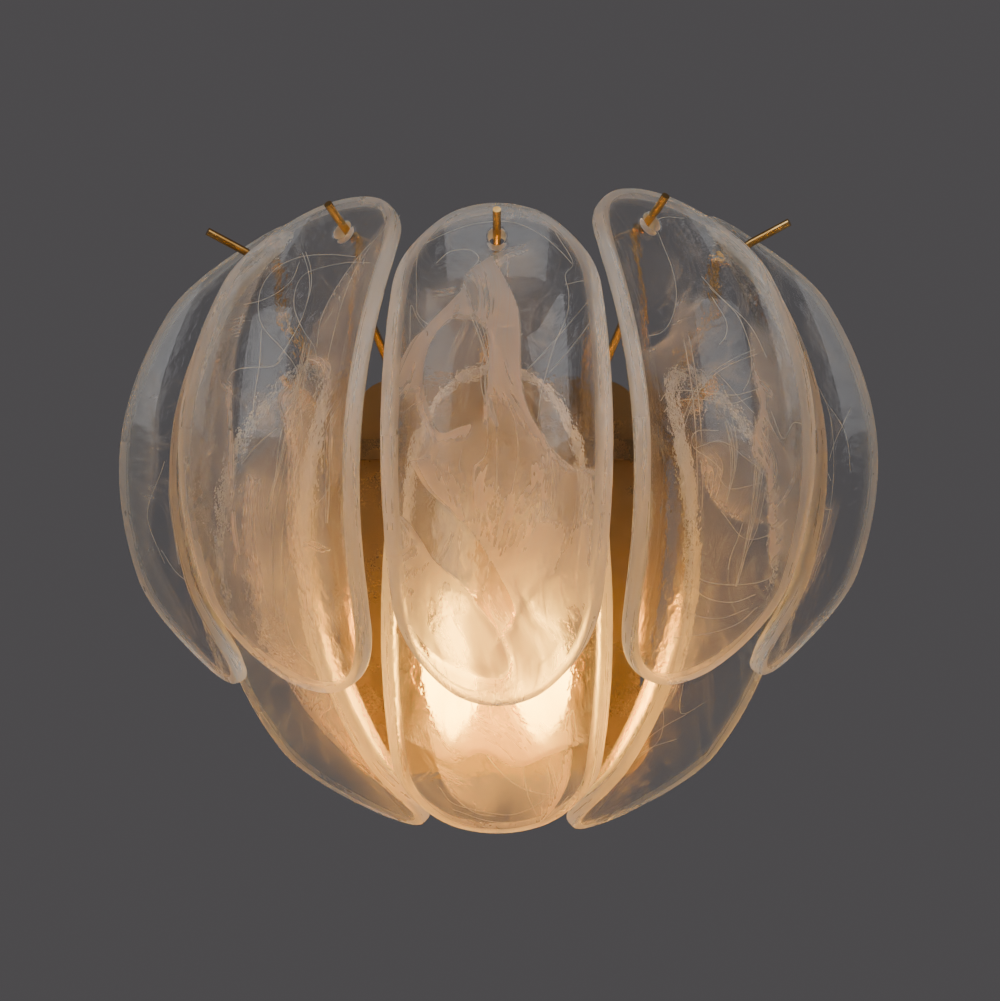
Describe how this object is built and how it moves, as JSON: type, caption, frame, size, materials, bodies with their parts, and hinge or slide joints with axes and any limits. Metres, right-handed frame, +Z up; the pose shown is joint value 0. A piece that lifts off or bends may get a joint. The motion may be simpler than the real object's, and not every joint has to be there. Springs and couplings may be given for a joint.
{
  "type": "glass petal wall sconce",
  "caption": "Wall light whose thick saddle-shaped milky glass petals hang in an upper and a lower row from bent brass hooks in front of a gilt back plate, around candle lamps.",
  "frame": {"origin": "middle of the back plate's wall side, on the wall plane", "axes": "+X to the right seen from the room, +Y into the wall, +Z up"},
  "size_m": [0.3864, 0.1956, 0.3202],
  "materials": {
    "petal_glass": "thick clear glass with milky veils, glossy front, pebbled back",
    "gilt": "polished gilt brass",
    "zinc_steel": "zinc-plated satin",
    "contact_brass": "plain satin brass",
    "cap_metal": "rolled thread, bright",
    "bulb_glass": "clear, lit warm white",
    "filament": "glowing filament on its stem",
    "holder_plastic": "matt heat-proof plastic, cream",
    "white_plastic": "glossy white",
    "black_rubber": "matt black",
    "lead_sheath": "clear gold sheath"
  },
  "bodies": {
    "frame": {"back_plate": "gilt", "bracket_screws": "zinc_steel", "cable_grommet": "black_rubber", "earth_screw": "zinc_steel", "hanger_band": "gilt", "holder_contact_left": "contact_brass", "holder_contact_right": "contact_brass", "hook_lower_1": "gilt", "hook_lower_2": "gilt", "hook_lower_3": "gilt", "hook_upper_1": "gilt", "hook_upper_2": "gilt", "hook_upper_3": "gilt", "hook_upper_4": "gilt", "hook_upper_5": "gilt", "lamp_bracket": "zinc_steel", "lampholder_left": "holder_plastic", "lampholder_right": "holder_plastic", "lead_bush": "black_rubber", "lead_left": "lead_sheath", "lead_right": "lead_sheath", "nipple_left": "contact_brass", "nipple_nuts_left": "contact_brass", "nipple_nuts_right": "contact_brass", "nipple_right": "contact_brass", "screw_shell_left": "contact_brass", "screw_shell_right": "contact_brass", "spoke_left": "gilt", "spoke_middle": "gilt", "spoke_right": "gilt", "spoke_screws": "zinc_steel", "terminal_block": "white_plastic", "terminal_screws": "zinc_steel", "tray_cap_nuts": "gilt", "tray_studs": "zinc_steel", "wall_strap": "zinc_steel"},
    "petal_upper_1": {"petal_upper_1": "petal_glass"},
    "petal_upper_2": {"petal_upper_2": "petal_glass"},
    "petal_upper_3": {"petal_upper_3": "petal_glass"},
    "petal_upper_4": {"petal_upper_4": "petal_glass"},
    "petal_upper_5": {"petal_upper_5": "petal_glass"},
    "petal_lower_1": {"petal_lower_1": "petal_glass"},
    "petal_lower_2": {"petal_lower_2": "petal_glass"},
    "petal_lower_3": {"petal_lower_3": "petal_glass"},
    "lamp_left": {"bulb_glass_left": "bulb_glass", "bulb_cap_left": "cap_metal", "bulb_filament_left": "filament"},
    "lamp_right": {"bulb_glass_right": "bulb_glass", "bulb_cap_right": "cap_metal", "bulb_filament_right": "filament"}
  },
  "joints": [
    {"name": "petal_upper_1_lift", "type": "hinge", "parent": "frame", "child": "petal_upper_1", "pos_m": [-0.11343, -0.04354, 0.157], "axis": [-0.3584, 0.9336, 0], "range_deg": [0, 15]},
    {"name": "petal_upper_2_lift", "type": "hinge", "parent": "frame", "child": "petal_upper_2", "pos_m": [-0.06988, -0.10244, 0.1685], "axis": [-0.8261, 0.5635, 0], "range_deg": [0, 15]},
    {"name": "petal_upper_3_lift", "type": "hinge", "parent": "frame", "child": "petal_upper_3", "pos_m": [0, -0.124, 0.1637], "axis": [-1, 0, 0], "range_deg": [0, 15]},
    {"name": "petal_upper_4_lift", "type": "hinge", "parent": "frame", "child": "petal_upper_4", "pos_m": [0.06988, -0.10244, 0.1724], "axis": [-0.8261, -0.5635, 0], "range_deg": [0, 15]},
    {"name": "petal_upper_5_lift", "type": "hinge", "parent": "frame", "child": "petal_upper_5", "pos_m": [0.11483, -0.04408, 0.1616], "axis": [-0.3584, -0.9336, 0], "range_deg": [0, 15]},
    {"name": "petal_lower_1_lift", "type": "hinge", "parent": "frame", "child": "petal_lower_1", "pos_m": [-0.0872, -0.05096, 0.091], "axis": [-0.5045, 0.8634, 0], "range_deg": [0, 1]},
    {"name": "petal_lower_2_lift", "type": "hinge", "parent": "frame", "child": "petal_lower_2", "pos_m": [0, -0.103, 0.089], "axis": [-1, 0, 0], "range_deg": [0, 6]},
    {"name": "petal_lower_3_lift", "type": "hinge", "parent": "frame", "child": "petal_lower_3", "pos_m": [0.0885, -0.05171, 0.089], "axis": [-0.5045, -0.8634, 0], "range_deg": [0, 1]},
    {"name": "lamp_left_screw", "type": "hinge", "parent": "frame", "child": "lamp_left", "pos_m": [-0.024, -0.055, 0], "axis": [0, 0, -1], "continuous": true},
    {"name": "lamp_right_screw", "type": "hinge", "parent": "frame", "child": "lamp_right", "pos_m": [0.024, -0.055, 0], "axis": [0, 0, -1], "continuous": true}
  ]
}
